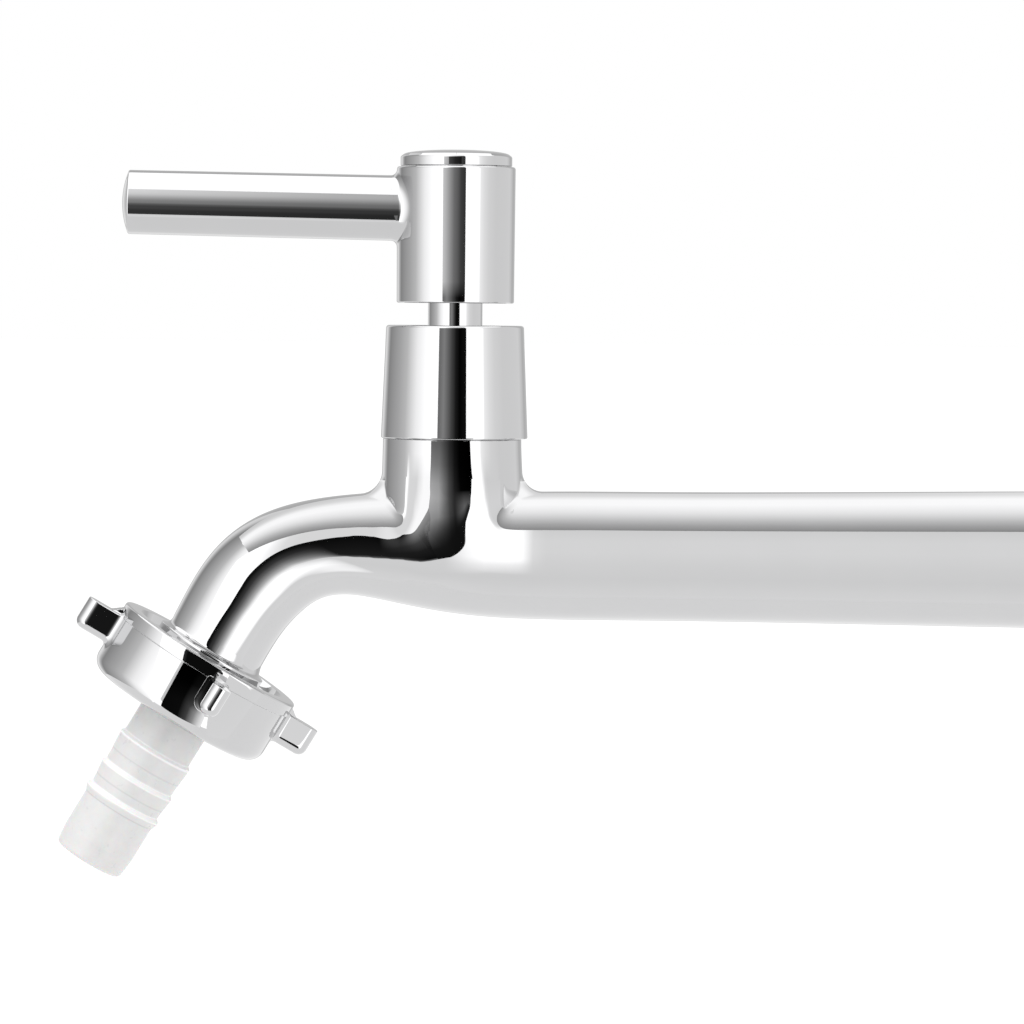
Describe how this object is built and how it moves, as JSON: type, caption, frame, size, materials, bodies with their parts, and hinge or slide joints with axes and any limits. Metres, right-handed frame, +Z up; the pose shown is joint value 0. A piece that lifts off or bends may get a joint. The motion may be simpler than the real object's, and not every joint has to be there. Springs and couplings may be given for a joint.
{
  "type": "garden tap",
  "caption": "Wall garden tap: long chrome tube body, quarter-turn bar lever on a bonnet, bent spout with a lugged union nut and a white plastic hose tail.",
  "frame": {"origin": "centre of the inlet where the tube's shoulder meets the finished wall", "axes": "+X along the inlet into the wall, -X towards spout and lever, +Z up along the stem, -Y the side the picture shows"},
  "size_m": [0.1932, 0.052, 0.1249],
  "materials": {
    "chrome_body": "polished chrome plate on cast brass",
    "chrome_trim": "polished chrome plate",
    "brass": "turned brass",
    "steel": "bright stainless steel",
    "ceramic": "lapped alumina",
    "rubber": "moulded nitrile rubber",
    "fibre": "pressed fibre",
    "nylon": "moulded nylon",
    "white_plastic": "semi-gloss moulded white plastic"
  },
  "bodies": {
    "root": {"body_casting": "chrome_body", "seat_seal": "rubber", "fixed_disc": "ceramic", "headwork_body": "brass", "headwork_gasket": "fibre", "bonnet_cover": "chrome_trim"},
    "handle": {"spindle": "chrome_trim", "moving_disc": "ceramic", "spindle_o_rings": "rubber", "thrust_washer": "nylon", "spindle_circlip": "steel", "lever_handle": "chrome_trim", "handle_screw": "steel", "screw_spring_washer": "steel", "handle_cap": "chrome_trim", "cap_o_ring": "rubber"},
    "tail": {"hose_tail": "white_plastic", "union_washer": "rubber"},
    "nut": {"union_nut": "chrome_trim"},
    "flange": {"wall_flange": "chrome_trim"}
  },
  "joints": [
    {"name": "handle_turn", "type": "hinge", "parent": "root", "child": "handle", "pos_m": [-0.112, 0, 0.05], "axis": [0, 0, 1], "range_deg": [0, 90]},
    {"name": "union_travel", "type": "slide", "parent": "root", "child": "tail", "axis": [-0.5195, 0, -0.8545], "range_m": [0, 0.0073]},
    {"name": "nut_turn", "type": "hinge", "parent": "tail", "child": "nut", "pos_m": [-0.15612, 0, -0.02188], "axis": [-0.5195, 0, -0.8545], "range_deg": [0, 1440]},
    {"name": "flange_slide", "type": "slide", "parent": "root", "child": "flange", "axis": [-1, 0, 0], "range_m": [0, 0.08]}
  ],
  "couplings": [
    {"joint": "union_travel", "follows": "nut_turn", "m_per_rad": 0.00028871}
  ]
}
